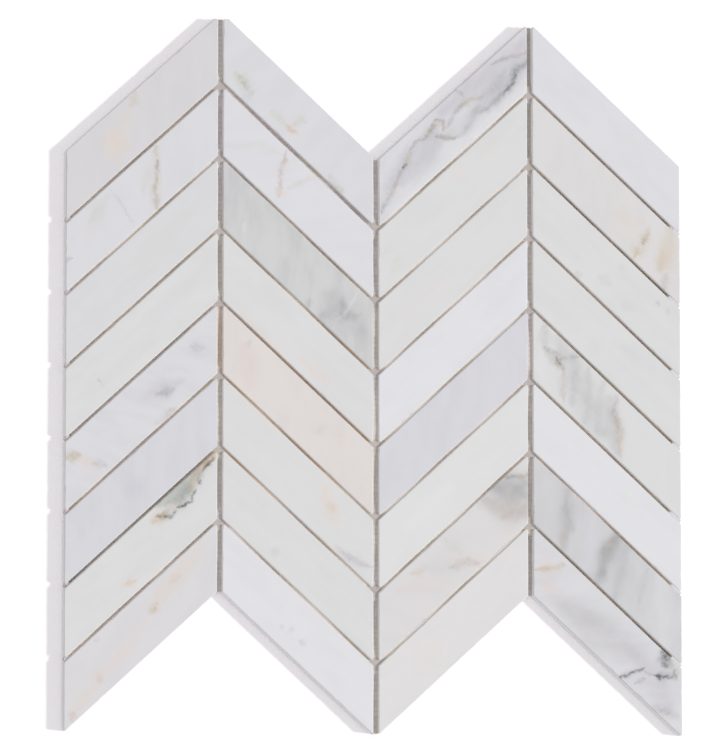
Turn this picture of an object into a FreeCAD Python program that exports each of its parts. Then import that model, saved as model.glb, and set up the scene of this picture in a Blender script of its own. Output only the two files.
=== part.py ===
import FreeCAD, Part
import math
import os

# Sheet of polished marble chevron strips on a glass-fibre net, lying face up. Sizes in millimetres.
# X runs across the sheet, Y up its columns, and Z up from the surface it lies on.
COLUMNS = 4
ROWS = 8

# One strip: a parallelogram with upright end cuts.
STRIP_LENGTH = 100.0      # along a long edge, from end cut to end cut
STRIP_WIDTH = 24.5        # square across the long edges
STRIP_THICKNESS = 6.0
CHEVRON_ANGLE = 42.6      # degrees that the strips slope from the sheet's width
ARRIS = 0.4               # eased edge round the polished face
TIP_RADIUS = 0.8          # grinding of the upright edges, which blunts the acute tips

# The lay of the strips.
STRIP_JOINT = 1.25        # open joint between the strips of a column, square across
COLUMN_JOINT = 2.5        # open joint between columns
LIFTED_COLUMN = 2         # the top strip of this column was laid a little high
STRIP_LIFT = 0.9

# The net on the backs of the strips.
MESH_THICKNESS = 0.5
MESH_TRIM = 1.5           # the net stops this far inside the outer stone edges

angle = math.radians(CHEVRON_ANGLE)
strip_run = STRIP_LENGTH * math.cos(angle)
strip_rise = STRIP_LENGTH * math.sin(angle)
end_cut = STRIP_WIDTH / math.cos(angle)
row_pitch = (STRIP_WIDTH + STRIP_JOINT) / math.cos(angle)
column_pitch = strip_run + COLUMN_JOINT
sheet_width = COLUMNS * column_pitch - COLUMN_JOINT
lay_height = (ROWS - 1) * row_pitch + end_cut + strip_rise
# The lifted strip adds to the height above the lay, and the origin halves the whole.
lay_top = (lay_height - STRIP_LIFT) / 2
lay_bottom = lay_top - lay_height


def column_left(column):
    """X of a column's left end cuts, columns counted from 1."""
    return -sheet_width / 2 + (column - 1) * column_pitch


def rises(column):
    """Odd columns climb to the right, even ones fall."""
    return column % 2 == 1


def strip_outline(rising):
    """Corners of a strip, anticlockwise, from the low corner of its left end cut."""
    left_low = 0 if rising else strip_rise
    right_low = strip_rise - left_low
    return [
        FreeCAD.Vector(0, left_low, 0),
        FreeCAD.Vector(strip_run, right_low, 0),
        FreeCAD.Vector(strip_run, right_low + end_cut, 0),
        FreeCAD.Vector(0, left_low + end_cut, 0),
    ]


def prism(corners, thickness):
    """Upright prism on a closed polygon of corners."""
    outline = Part.makePolygon(corners + corners[:1])
    return Part.Face(outline).extrude(FreeCAD.Vector(0, 0, thickness))


def edges_at(shape, height):
    """Edges of a prism whose middle lies at a height above its base."""
    return [edge for edge in shape.Edges if math.isclose(edge.CenterOfMass.z, height, abs_tol=1e-6)]


def make_strip(rising):
    """A sawn strip: its tips are ground round, then the arris of its polished face is eased."""
    block = prism(strip_outline(rising), STRIP_THICKNESS)
    ground = block.makeFillet(TIP_RADIUS, edges_at(block, STRIP_THICKNESS / 2))
    eased = block.makeChamfer(ARRIS, edges_at(block, STRIP_THICKNESS))
    return ground.common(eased).Solids[0]


def zigzag(start_y, trim_y):
    """Points of a sheet edge from left to right, bent on the middle of each column joint."""
    points = []
    half_joint_rise = COLUMN_JOINT / 2 * math.tan(angle)
    for bend in range(COLUMNS + 1):
        x = column_left(1) - COLUMN_JOINT / 2 + bend * column_pitch
        low = bend % 2 == 0
        y = start_y - half_joint_rise if low else start_y + strip_rise + half_joint_rise
        points.append(FreeCAD.Vector(x, y + trim_y, 0))
    return points


def make_mesh():
    """The net as a plain sheet with the lay's zigzag outline, trimmed back inside the stone."""
    slope_trim = MESH_TRIM / math.cos(angle)
    top = zigzag(lay_top - strip_rise, -slope_trim)
    bottom = zigzag(lay_bottom, slope_trim)
    sheet = prism(bottom + top[::-1], MESH_THICKNESS)
    trimmed_width = sheet_width - 2 * MESH_TRIM
    band = Part.makeBox(trimmed_width, lay_height, MESH_THICKNESS)
    band.translate(FreeCAD.Vector(-trimmed_width / 2, lay_bottom, 0))
    return sheet.common(band).Solids[0]


def main():
    os.makedirs("parts", exist_ok=True)
    make_mesh().exportStep("parts/mesh_backing.step")
    strips = {rising: make_strip(rising) for rising in (True, False)}
    for column in range(1, COLUMNS + 1):
        for row in range(1, ROWS + 1):
            strip = strips[rises(column)].copy()
            low_y = lay_bottom + (ROWS - row) * row_pitch
            if column == LIFTED_COLUMN and row == 1:
                low_y += STRIP_LIFT
            strip.translate(FreeCAD.Vector(column_left(column), low_y, MESH_THICKNESS))
            strip.exportStep(f"parts/strip_col{column}_row{row}.step")
    print(f"lay {sheet_width:.1f} x {lay_height:.1f} mm")
    print(f"column pitch {column_pitch:.2f} mm, row pitch {row_pitch:.2f} mm")
    print(f"strip volume {strips[True].Volume:.0f} mm3")


main()
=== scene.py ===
# %% [markdown]
# # A chevron sheet of polished marble strips
# The object is a sheet of wall mosaic: sawn and polished marble strips, laid as chevrons in four columns
# and glued by their backs to a glass-fibre net. The joints are still open, because grout comes on the wall.
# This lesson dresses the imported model: each strip becomes a stone with eased and slightly chipped edges and
# its own veining, and the plain sheet under them becomes a woven net.

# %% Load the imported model
import math
import random

import bmesh
import bpy
from mathutils import Matrix, Vector


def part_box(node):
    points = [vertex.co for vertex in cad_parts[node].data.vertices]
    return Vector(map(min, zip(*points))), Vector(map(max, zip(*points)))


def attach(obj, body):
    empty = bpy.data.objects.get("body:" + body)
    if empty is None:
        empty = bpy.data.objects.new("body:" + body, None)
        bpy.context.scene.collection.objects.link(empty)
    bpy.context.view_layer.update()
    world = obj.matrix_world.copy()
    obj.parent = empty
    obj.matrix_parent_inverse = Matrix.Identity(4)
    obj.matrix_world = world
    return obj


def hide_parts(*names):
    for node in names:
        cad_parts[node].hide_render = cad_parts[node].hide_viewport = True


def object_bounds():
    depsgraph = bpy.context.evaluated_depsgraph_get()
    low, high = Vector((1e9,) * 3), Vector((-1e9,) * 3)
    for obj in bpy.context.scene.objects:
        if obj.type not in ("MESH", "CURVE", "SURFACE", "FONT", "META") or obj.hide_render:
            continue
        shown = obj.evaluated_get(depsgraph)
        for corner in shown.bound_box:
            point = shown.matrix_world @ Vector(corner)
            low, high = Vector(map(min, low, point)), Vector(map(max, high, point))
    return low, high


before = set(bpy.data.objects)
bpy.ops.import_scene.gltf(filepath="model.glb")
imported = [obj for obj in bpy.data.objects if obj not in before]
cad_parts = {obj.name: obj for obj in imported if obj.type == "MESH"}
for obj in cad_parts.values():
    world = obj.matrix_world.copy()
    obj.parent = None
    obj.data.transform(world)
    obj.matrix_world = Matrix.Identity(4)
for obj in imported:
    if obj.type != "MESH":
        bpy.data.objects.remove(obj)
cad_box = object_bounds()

scene = bpy.context.scene
scene.view_settings.view_transform = "Standard"
print("nodes", len(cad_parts), "box", [[round(v, 4) for v in corner] for corner in cad_box])

# %% [markdown]
# ## The lay
# Every strip is a parallelogram with upright end cuts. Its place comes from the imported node's box, whose
# middle is the middle of the strip, so only the strip's own size is restated here. A strip also has a frame
# of its own in millimetres: u runs along it from the low corner of its left end, and v runs square across.
# Veins are easier to read and to write in that frame than in the sheet's.

# %% Name the strip's sizes
MM = 0.001
COLUMNS = 4
ROWS = 8
CHEVRON_ANGLE = math.radians(42.6)
STRIP_LENGTH = 100 * MM
STRIP_WIDTH = 24.5 * MM
TIP_RADIUS = 0.8 * MM

steepness = math.tan(CHEVRON_ANGLE)
strip_run = STRIP_LENGTH * math.cos(CHEVRON_ANGLE)
strip_rise = STRIP_LENGTH * math.sin(CHEVRON_ANGLE)
end_cut = STRIP_WIDTH / math.cos(CHEVRON_ANGLE)
STRIPS = [(column, row) for column in range(1, COLUMNS + 1) for row in range(1, ROWS + 1)]
print("strip", round(strip_run / MM, 1), "mm across the column, end cut", round(end_cut / MM, 1), "mm")


# %% Find a strip's place
def node_name(strip):
    return "strip_col{}_row{}".format(*strip)


def slope(strip):
    """+1 where the strip climbs to the right, -1 where it falls."""
    return 1 if strip[0] % 2 else -1


def middle(strip):
    low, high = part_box(node_name(strip))
    return (Vector(low) + Vector(high)) / 2


def low_left(strip):
    """The low corner of a strip's left end, where its own frame starts."""
    half_rise = slope(strip) * strip_rise / 2
    return middle(strip) - Vector((strip_run / 2, half_rise + end_cut / 2, 0))


print("first strip's middle", [round(v / MM, 1) for v in middle((1, 1))], "mm")

# %% [markdown]
# ## The stone's outline
# A sawn strip has straight edges and ground tips, and the two tips at the sheet's upper left point were
# snipped off flat. The outline is walked once round, with a point every millimetre or so, and each point
# keeps the direction that faces out of the stone. Those directions let the later rings step inwards evenly,
# which a scaled copy of the outline would not do on a slanted shape.

# %% Place the corners
SNIP_DEPTHS = {(1, 1): 1.8 * MM, (2, 1): 2.7 * MM}
SNIP_RADIUS = 0.7 * MM


def corners(strip):
    """Corners about the strip's middle with their radii, anticlockwise from the low left one."""
    run, rise, cut = strip_run / 2, slope(strip) * strip_rise / 2, end_cut / 2
    shape = [(-run, -rise - cut), (run, rise - cut), (run, rise + cut), (-run, -rise + cut)]
    radii = [TIP_RADIUS] * 4
    if strip in SNIP_DEPTHS:
        tip = 2 if rise > 0 else 3
        x, y = shape[tip][0], shape[tip][1] - SNIP_DEPTHS[strip]
        inner_x = x - slope(strip) * SNIP_DEPTHS[strip] / steepness
        shape[tip:tip + 1] = [(max(x, inner_x), y), (min(x, inner_x), y)]
        radii[tip:tip + 1] = [SNIP_RADIUS] * 2
    return [Vector(corner) for corner in shape], radii


print("corners", len(corners((1, 2))[0]), "and with a snipped tip", len(corners((1, 1))[0]))

# %% Walk round a strip
EDGE_STEP = 1.1 * MM
TIP_STEPS = 7


def ground_tip(before, corner, after, radius):
    """Points and outward directions of the arc that blunts one corner."""
    back, on = (before - corner).normalized(), (after - corner).normalized()
    half_angle = math.acos(back.dot(on)) / 2
    centre = corner + (back + on).normalized() * radius / math.sin(half_angle)
    first_way = Vector((-back.y, back.x))
    turn = math.pi - 2 * half_angle
    outward = [Matrix.Rotation(turn * k / TIP_STEPS, 2) @ first_way for k in range(TIP_STEPS + 1)]
    return [(centre + way * radius, way) for way in outward]


def outline(strip):
    """The whole outline as (point, outward direction), with straight edges cut into short steps."""
    shape, radii = corners(strip)
    count = len(shape)
    tips = [ground_tip(shape[k - 1], shape[k], shape[(k + 1) % count], radii[k]) for k in range(count)]
    walk = []
    for k, tip in enumerate(tips):
        walk += tip
        (start, out), (end, _) = tip[-1], tips[(k + 1) % count][0]
        steps = max(1, round((end - start).length / EDGE_STEP))
        walk += [(start.lerp(end, step / steps), out) for step in range(1, steps)]
    return walk


print("points round a strip", len(outline((1, 2))))

# %% [markdown]
# ## The arris and its chips
# The polished face meets the sides in an eased edge of about 0.4 mm, the arris, rubbed flat with a hand
# stone. The top strip of the third column was rubbed harder, and its arris is wider. Marble is brittle, so
# that edge is never quite even: the easing wanders a little and has small shell-shaped chips. A bevel
# modifier would cut all the edges alike. Here the size of the easing is worked out at each point, and rings
# of vertices follow it.

# %% Size the arris at each point
ARRIS = 0.42 * MM
WIDE_ARRISES = {(3, 1): 0.58 * MM}
LARGEST_EASING = 0.62 * MM
WANDER = 0.07  # share of the arris, for each set of waves
WANDER_WAVES = (5, 13, 31)  # waves round the outline
CHIPS_PER_STRIP = 9
CHIP_REACH = (0.6, 2.4)  # in points of the outline
CHIP_DEPTH = (0.1, 0.4)  # in millimetres
CHIP_POINTS = range(-4, 5)


def arris_sizes(walk, dice, arris):
    """Easing at each point of the outline: a gentle wander plus a few chips."""
    length = len(walk)
    phases = [dice.uniform(0, math.tau) for _ in WANDER_WAVES]
    sizes = []
    for k in range(length):
        turn = math.tau * k / length
        wander = sum(math.sin(turn * waves + phase) for waves, phase in zip(WANDER_WAVES, phases))
        sizes.append(arris * (1 + WANDER * wander))
    for _ in range(CHIPS_PER_STRIP):
        at = dice.randrange(length)
        reach = dice.uniform(*CHIP_REACH)
        depth = dice.uniform(*CHIP_DEPTH) * MM
        for k in CHIP_POINTS:
            bite = max(0.0, 1 - (k / reach) ** 2)
            sizes[(at + k) % length] += depth * bite
    return [min(size, LARGEST_EASING) for size in sizes]


sample = arris_sizes(outline((1, 2)), random.Random(1), ARRIS)
print("an arris from", round(min(sample) / MM, 2), "to", round(max(sample) / MM, 2), "mm")

# %% Build a stone
BACK_EASING = 0.15 * MM
STONE_CREASE = math.radians(30)


def wall(made, below, above):
    """Faces between two rings of vertices."""
    for k in range(len(below)):
        j = (k + 1) % len(below)
        made.faces.new((below[k], below[j], above[j], above[k]))


def finish_mesh(made, name, crease=None):
    """The built shape as a mesh. With a crease angle it is smooth, except along edges bent further."""
    mesh = bpy.data.meshes.new(name)
    made.to_mesh(mesh)
    made.free()
    if crease is not None:
        mesh.polygons.foreach_set("use_smooth", [True] * len(mesh.polygons))
        mesh.set_sharp_from_angle(angle=crease)
    return mesh


def stone_mesh(strip):
    """A strip as rings of vertices from its back, up its sides and over the arris to its polished face."""
    dice = random.Random(100 * strip[0] + strip[1])
    walk = outline(strip)
    easing = arris_sizes(walk, dice, WIDE_ARRISES.get(strip, ARRIS))
    centre = middle(strip).xy
    low, high = (corner[2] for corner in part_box(node_name(strip)))
    rings = [[(BACK_EASING, low)] * len(walk), [(0, low + BACK_EASING)] * len(walk)]
    rings += [[(0, high - size) for size in easing], [(size, high) for size in easing]]
    made = bmesh.new()
    loops = []
    for ring in rings:
        places = [(*(centre + point - out * inset), z) for (point, out), (inset, z) in zip(walk, ring)]
        loops.append([made.verts.new(place) for place in places])
    for below, above in zip(loops, loops[1:]):
        wall(made, below, above)
    made.faces.new(loops[-1])
    made.faces.new(loops[0][::-1])
    return finish_mesh(made, "stone", STONE_CREASE)


print("creases from", round(math.degrees(STONE_CREASE)), "degrees")


# %% Place the stones
def place_piece(name, mesh):
    """A new piece on the sheet's one body."""
    piece = bpy.data.objects.new(name, mesh)
    scene.collection.objects.link(piece)
    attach(piece, "root")
    return piece


stones = {}
for strip in STRIPS:
    name = "marble_col{}_row{}".format(*strip)
    stones[strip] = place_piece(name, stone_mesh(strip))
    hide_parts(node_name(strip))
print("stones", len(stones), "faces each about", len(stones[1, 1].data.polygons))

# %% [markdown]
# ## The net
# The backs are glued to a woven glass-fibre net with a mesh of about 2.5 mm. It shows at the foot of the
# joints, and all over the back of the sheet. An image of a grid would be quick, but the threads have
# thickness and pass over and under each other, so each thread is a thin ribbon whose height changes sign at
# every crossing. All threads of one direction are joined into one mesh.

# %% Trace the net's outline
NET_TRIM = 1.5 * MM
COLUMN_JOINT = 2.5 * MM
net_low, net_high = (Vector(corner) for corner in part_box("mesh_backing"))
column_pitch = strip_run + COLUMN_JOINT
half_joint_rise = COLUMN_JOINT / 2 * steepness
top_start = middle((1, 1)).y + end_cut / 2 - strip_rise / 2 - half_joint_rise
foot_start = middle((1, ROWS)).y - end_cut / 2 - strip_rise / 2 - half_joint_rise
slope_trim = NET_TRIM / math.cos(CHEVRON_ANGLE)


def zigzag(x):
    """Height of the chevron line at x, above the low ends of the strips."""
    phase = (x + COLUMNS / 2 * column_pitch) / column_pitch % 2
    return (phase if phase < 1 else 2 - phase) * column_pitch * steepness


def net_foot(x):
    """Height of the net's lower edge at x."""
    return zigzag(x) + foot_start + slope_trim


def net_top(x):
    """Height of the net's upper edge at x."""
    return zigzag(x) + top_start - slope_trim


print("net", [round((high - low) / MM, 1) for low, high in zip(net_low, net_high)], "mm")

# %% Lay out the threads
NET_PITCH = 2.5 * MM
thread_columns = int((net_high.x - net_low.x) / NET_PITCH)
thread_rows = int((net_high.y - net_low.y) / NET_PITCH)
first_x = -NET_PITCH * thread_columns / 2
first_y = (net_low.y + net_high.y - NET_PITCH * thread_rows) / 2


def crossing(i, j):
    return first_x + i * NET_PITCH, first_y + j * NET_PITCH


def on_net(x, y):
    return net_foot(x) <= y <= net_top(x) and net_low.x <= x <= net_high.x


def thread_runs(crossings):
    """Splits a thread where it leaves the net's outline."""
    run = []
    for i, j in crossings:
        if on_net(*crossing(i, j)):
            run.append((i, j))
        elif run:
            yield run
            run = []
    if run:
        yield run


cross_rows = [[(i, j) for i in range(thread_columns + 1)] for j in range(thread_rows + 1)]
cross_columns = [[(i, j) for j in range(thread_rows + 1)] for i in range(thread_columns + 1)]
print("threads", len(cross_rows), "across and", len(cross_columns), "up")

# %% Weave the threads
THREAD_WIDTH = 0.62 * MM
THREAD_THICKNESS = 0.2 * MM
net_middle = (net_low.z + net_high.z) / 2
weave_lift = (net_high.z - net_low.z - THREAD_THICKNESS) / 2


def ribbon(vertices, faces, run, across, sign):
    """One thread with a diamond section, bent over and under at its crossings."""
    first = len(vertices)
    half_width, half_thickness = THREAD_WIDTH / 2, THREAD_THICKNESS / 2
    for i, j in run:
        x, y = crossing(i, j)
        z = net_middle + sign * (1 if (i + j) % 2 else -1) * weave_lift
        side = across * half_width
        vertices += [(x - side.x, y - side.y, z), (x, y, z - half_thickness)]
        vertices += [(x + side.x, y + side.y, z), (x, y, z + half_thickness)]
    for k in range(len(run) - 1):
        a, b = first + 4 * k, first + 4 * (k + 1)
        faces += [(a + e, a + (e + 1) % 4, b + (e + 1) % 4, b + e) for e in range(4)]
    last = first + 4 * (len(run) - 1)
    faces += [(first + 3, first + 2, first + 1, first), (last, last + 1, last + 2, last + 3)]


def weave(name, threads, across, sign):
    vertices, faces = [], []
    for thread in threads:
        for run in thread_runs(thread):
            if len(run) > 1:
                ribbon(vertices, faces, run, across, sign)
    mesh = bpy.data.meshes.new(name)
    mesh.from_pydata(vertices, [], faces)
    shape = bmesh.new()
    shape.from_mesh(mesh)
    bmesh.ops.recalc_face_normals(shape, faces=shape.faces)
    shape.to_mesh(mesh)
    shape.free()
    print(name, len(faces), "faces")
    return place_piece(name, mesh)


weft = weave("net_weft", cross_rows, Vector((0, 1)), 1)
warp = weave("net_warp", cross_columns, Vector((1, 0)), -1)

# %% [markdown]
# ## The glue
# The net is soaked in glue when the stones are set on it. A thin film of it closes the openings of the net.
# The film is a prism on the net's own outline, with one point cut off where the tips above it were snipped.
# More glue is pressed up between the stones and dries there, so the joints are not open down to the net:
# they have a taupe floor. It lies deeper in some joints than in others, and comes to one level where the
# joints of two columns meet. The floor of a joint is a row of cross-sections along its middle line, each
# hollow in the middle like any glue that has shrunk between two walls.

# %% Pour the glue film
FILM_THICKNESS = 0.2 * MM
NET_SNIP = 0.8 * MM
half_snip = NET_SNIP / steepness
foot_bends = [net_low.x, -column_pitch, 0, column_pitch, net_high.x]
top_bends = [net_low.x, -column_pitch - half_snip, -column_pitch + half_snip, 0, column_pitch, net_high.x]
foot_line = [Vector((x, net_foot(x), 0)) for x in foot_bends]
top_line = [Vector((x, net_top(x), 0)) for x in top_bends]
film_outline = foot_line + top_line[::-1]


def film_mesh():
    made = bmesh.new()
    levels = (net_middle - FILM_THICKNESS / 2, net_middle + FILM_THICKNESS / 2)
    lower, upper = [[made.verts.new(point + Vector((0, 0, z))) for point in film_outline] for z in levels]
    made.faces.new(lower[::-1])
    made.faces.new(upper)
    wall(made, lower, upper)
    return finish_mesh(made, "glue_film")


film = place_piece("glue_film", film_mesh())
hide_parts("mesh_backing")
print("film outline", len(film_outline), "corners")

# %% Find where the joints meet
EDGE_GAP = 0.5 * MM


def joint_ends(column, row):
    """Ends of the middle line of the joint below a strip, and its width, from the strips beside it."""
    above, below = middle((column, row)), middle((column, row + 1))
    gap = above.y - below.y - end_cut
    left = max((column - 1 - COLUMNS / 2) * column_pitch, cad_box[0][0] + EDGE_GAP)
    right = min((column - COLUMNS / 2) * column_pitch, cad_box[1][0] - EDGE_GAP)
    rise = slope((column, row)) * steepness
    height = (above.y + below.y) / 2
    ends = [Vector((x, height + (x - above.x) * rise)) for x in (left, right)]
    return *ends, gap * math.cos(CHEVRON_ANGLE)


def meeting_place(column, row):
    """Where the joint below a strip runs into the upright joint on its right."""
    _, end, _ = joint_ends(column, row)
    return end - Vector((0, slope((column, row)) * half_joint_rise))


MEETINGS = [meeting_place(column, row) for column in range(1, COLUMNS) for row in range(1, ROWS)]
print("joints meet at", len(MEETINGS), "places")

# %% Level the glue where joints meet
MEETING_DEPTH = 1.5 * MM
CUSHION_LIFT = 0.04 * MM
NEAR, FAR = 3.2 * MM, 6.5 * MM
face_height = cad_box[1][2]


def nearness(place):
    """1 round a place where joints meet, falling smoothly to 0 some way off."""
    away = min((place - meeting).length for meeting in MEETINGS)
    share = min(1.0, max(0.0, (FAR - away) / (FAR - NEAR)))
    return share * share * (3 - 2 * share)


print("glue at the meetings", round((face_height - MEETING_DEPTH) / MM, 2), "mm up, face at",
      round(face_height / MM, 2), "mm")

# %% Shape the floor of one joint
# The section gives places across the joint and how far the glue climbs there, both in joint widths.
WALL = 0.5
GLUE_SECTION = [(-WALL, 0.30), (-0.32, 0.08), (0.0, 0.0), (0.32, 0.08), (WALL, 0.30)]
GLUE_STEP = 0.8 * MM
HIGHEST_GLUE = 0.25 * MM
UNEVEN = 0.35 * MM
UNEVEN_LENGTH = 9 * MM
UPRIGHT, SLANTED, MEETING = range(3)  # the three finishes of the glue


def glue_floor(made, start, end, width, depth_at, dice, finish, wall_depth=math.inf):
    """A joint's floor from start to end. Glue on its upper wall stands no deeper than the wall depth."""
    along = (end - start).normalized()
    across = Vector((-along.y, along.x))
    steps = round((end - start).length / GLUE_STEP)
    drift = dice.uniform(0, math.tau)
    sections = []
    for step in range(steps + 1):
        place = start.lerp(end, step / steps)
        near = nearness(place)
        depth = depth_at(place) + UNEVEN * math.sin((place - start).length / UNEVEN_LENGTH + drift)
        depth += (MEETING_DEPTH + CUSHION_LIFT - depth) * near
        section = []
        for side, lift in GLUE_SECTION:
            level = depth - lift * width * (1 - near)
            if side == WALL and level > wall_depth:
                level = wall_depth + (level - wall_depth) * near
            z = face_height - max(HIGHEST_GLUE, level)
            section.append(made.verts.new((*(place + across * side * width), z)))
        for side in (WALL, -WALL):
            section.append(made.verts.new((*(place + across * side * width), net_middle)))
        sections.append(section)
    count = len(sections[0])
    for here, there in zip(sections, sections[1:]):
        for k in range(count):
            j = (k + 1) % count
            made.faces.new((here[k], there[k], there[j], here[j])).material_index = finish
    made.faces.new(sections[0]).material_index = finish
    made.faces.new(sections[-1][::-1]).material_index = finish


print("section of", len(GLUE_SECTION), "points every", round(GLUE_STEP / MM, 2), "mm")

# %% [markdown]
# ## Glue in the two kinds of joint
# The joints between columns are wide and upright. Their glue lies deeper towards the top and the foot of
# the sheet, it runs a little way out into the notches, and it stops short at the snipped point. The joints
# between the strips of a column are narrow and slanted, and each got its own amount of glue. Some of it
# stayed on the upper wall of the joints that fall to the right. At the left and the right edge of the sheet
# the slanted joints are filled up. One of them is wide, because the strip above it was laid high, and it
# takes the finish of the upright joints. Round cushions close the hollows that the ground tips leave.

# %% Pour the upright joints
# Depths at the top of the sheet, half way and at its foot. Joints are counted from the middle one.
UPRIGHT_DEPTHS = {
    -1: (2.9 * MM, 2.0 * MM, 2.7 * MM),
    0: (3.3 * MM, 1.5 * MM, 2.3 * MM),
    1: (4.6 * MM, 1.4 * MM, 5.6 * MM),
}
LEVEL_REACH = 0.8  # share of the half height where the outer depths are reached
NOTCH_REACH = 2.8 * MM
SNIPPED_JOINT = -1


def level_at(levels, y):
    """A depth up the sheet, from the depths at its top, half way and at its foot."""
    top, halfway, foot = levels
    share = max(-1.0, min(1.0, y / (LEVEL_REACH * cad_box[1][1])))
    return halfway + ((top if share > 0 else foot) - halfway) * abs(share)


def upright_floor(made, joint, dice):
    """The joint between two columns, from its lower to its upper end."""
    x = joint * column_pitch
    notched_foot = joint % 2 == 1
    low = Vector((x, net_foot(x) - NOTCH_REACH * notched_foot))
    high = Vector((x, net_top(x) + NOTCH_REACH * (not notched_foot)))
    if joint == SNIPPED_JOINT:
        high.y -= NET_SNIP

    def depth_at(place):
        return level_at(UPRIGHT_DEPTHS[joint], place.y)

    glue_floor(made, low, high, COLUMN_JOINT, depth_at, dice, UPRIGHT)


print("upright joints", len(UPRIGHT_DEPTHS))

# %% Pour the slanted joints
# Depths in millimetres, from the top joint of a column down.
SLANTED_DEPTHS = {
    1: (2.1, 1.3, 1.75, 2.3, 1.7, 3.1, 1.8),
    2: (2.1, 1.7, 1.55, 2.1, 1.4, 1.3, 1.1),
    3: (1.3, 1.05, 1.1, 1.0, 1.15, 1.25, 0.95),
    4: (2.3, 2.7, 1.9, 2.0, 1.7, 1.1, 2.5),
}
LAST_COLUMN_FALL = 1.0 * MM
LEFT_FILL = 1.6 * MM
LEFT_FILL_DEPTH = 1.15 * MM
RIGHT_FILL = 7.5 * MM
FILL_SPREAD = (0.8, 1.2)
FILL_SLOPE = 1.5 * MM
WALL_DEPTH = 0.65 * MM
WIDE_JOINT = 1.5 * MM


def filled(depth, fill_depth, inside):
    """The depth of a floor that passes into a fill. Inside is how far in the place lies."""
    share = min(1.0, max(0.0, inside / FILL_SLOPE))
    return depth + (fill_depth - depth) * share


def slanted_floor(made, column, row, dice):
    """The joint below a strip, from its left to its right end."""
    start, end, width = joint_ends(column, row)
    right_fill = RIGHT_FILL * dice.uniform(*FILL_SPREAD)

    def depth_at(place):
        depth = SLANTED_DEPTHS[column][row - 1] * MM
        if column == 1:
            depth = filled(depth, LEFT_FILL_DEPTH, LEFT_FILL - (place - start).length)
        if column == COLUMNS:
            depth += LAST_COLUMN_FALL * (place - start).length / STRIP_LENGTH
            depth = filled(depth, HIGHEST_GLUE, right_fill - (end - place).length)
        return depth

    wall_depth = WALL_DEPTH if slope((column, row)) < 0 else math.inf
    finish = UPRIGHT if width > WIDE_JOINT else SLANTED
    glue_floor(made, start, end, width, depth_at, dice, finish, wall_depth)


print("slanted joints", sum(len(depths) for depths in SLANTED_DEPTHS.values()))

# %% Cushion the tips
CUSHION_RINGS = 8
CUSHION_SIDES = 24
FLATNESS = 30  # the larger, the flatter the top and the steeper the rim
MEETING_RADIUS = 4.0 * MM
LEFT_RADIUS = 1.3 * MM
LEFT_INSET = 1.6 * MM
RIGHT_RADIUS = 2.1 * MM
RIGHT_INSET = 2.4 * MM
RIGHT_DEPTH = 0.3 * MM


def cushion(made, centre, radius, depth, finish):
    """A round of glue in the hollow by the ground tips."""
    top = face_height - depth
    summit = made.verts.new((*centre, top))
    turns = [math.tau * k / CUSHION_SIDES for k in range(CUSHION_SIDES)]
    ways = [Vector((math.cos(turn), math.sin(turn))) for turn in turns]
    rings = []
    for ring in range(1, CUSHION_RINGS + 1):
        share = ring / CUSHION_RINGS
        z = top + (net_middle - top) * share ** FLATNESS
        rings.append([made.verts.new((*(centre + way * radius * share), z)) for way in ways])
    for k in range(CUSHION_SIDES):
        j = (k + 1) % CUSHION_SIDES
        made.faces.new((summit, rings[0][k], rings[0][j])).material_index = finish
        for inner, outer in zip(rings, rings[1:]):
            made.faces.new((inner[k], outer[k], outer[j], inner[j])).material_index = finish
    made.faces.new(rings[-1][::-1]).material_index = finish


def cushion_edges(made, row):
    """Cushions where the joints of a row run out at the left and the right edge of the sheet."""
    start, end, _ = joint_ends(1, row)
    left = start + (end - start).normalized() * LEFT_INSET
    cushion(made, left, LEFT_RADIUS, LEFT_FILL_DEPTH, SLANTED)
    start, end, _ = joint_ends(COLUMNS, row)
    right = end - (end - start).normalized() * RIGHT_INSET
    cushion(made, right, RIGHT_RADIUS, RIGHT_DEPTH, SLANTED)


print("cushions", len(MEETINGS), "at the meetings,", 2 * (ROWS - 1), "at the edges")

# %% Join the glue of all the joints
GLUE_SEED = 7
GLUE_CREASE = math.radians(50)


def joint_glue_mesh():
    dice = random.Random(GLUE_SEED)
    made = bmesh.new()
    for joint in UPRIGHT_DEPTHS:
        upright_floor(made, joint, dice)
    for column, row in STRIPS:
        if row < ROWS:
            slanted_floor(made, column, row, dice)
    for place in MEETINGS:
        cushion(made, place, MEETING_RADIUS, MEETING_DEPTH, MEETING)
    for row in range(1, ROWS):
        cushion_edges(made, row)
    bmesh.ops.recalc_face_normals(made, faces=made.faces)
    return finish_mesh(made, "joint_glue", GLUE_CREASE)


joint_glue = place_piece("joint_glue", joint_glue_mesh())
print("joint glue", len(joint_glue.data.polygons), "faces")

# %% [markdown]
# ## Building materials from nodes
# Materials are written as node trees, and a few helpers keep that short: one adds a node and fills or links
# its sockets, the others wrap it. A socket that is given takes a link, and a plain value is set.

# %% Node helpers
def add_node(tree, kind, inputs=None, **settings):
    made = tree.nodes.new(kind)
    for key, value in settings.items():
        setattr(made, key, value)
    for key, value in (inputs or {}).items():
        if isinstance(value, bpy.types.NodeSocket):
            tree.links.new(value, made.inputs[key])
        else:
            made.inputs[key].default_value = value
    return made


def arithmetic(tree, operation, *values):
    return add_node(tree, "ShaderNodeMath", dict(enumerate(values)), operation=operation).outputs[0]


def vectors(tree, operation, *values):
    made = add_node(tree, "ShaderNodeVectorMath", dict(enumerate(values)), operation=operation)
    scalar = operation in ("DOT_PRODUCT", "LENGTH")
    return made.outputs["Value" if scalar else "Vector"]


def scaled(tree, vector, factor):
    inputs = {0: vector, "Scale": factor}
    return add_node(tree, "ShaderNodeVectorMath", inputs, operation="SCALE").outputs[0]


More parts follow.
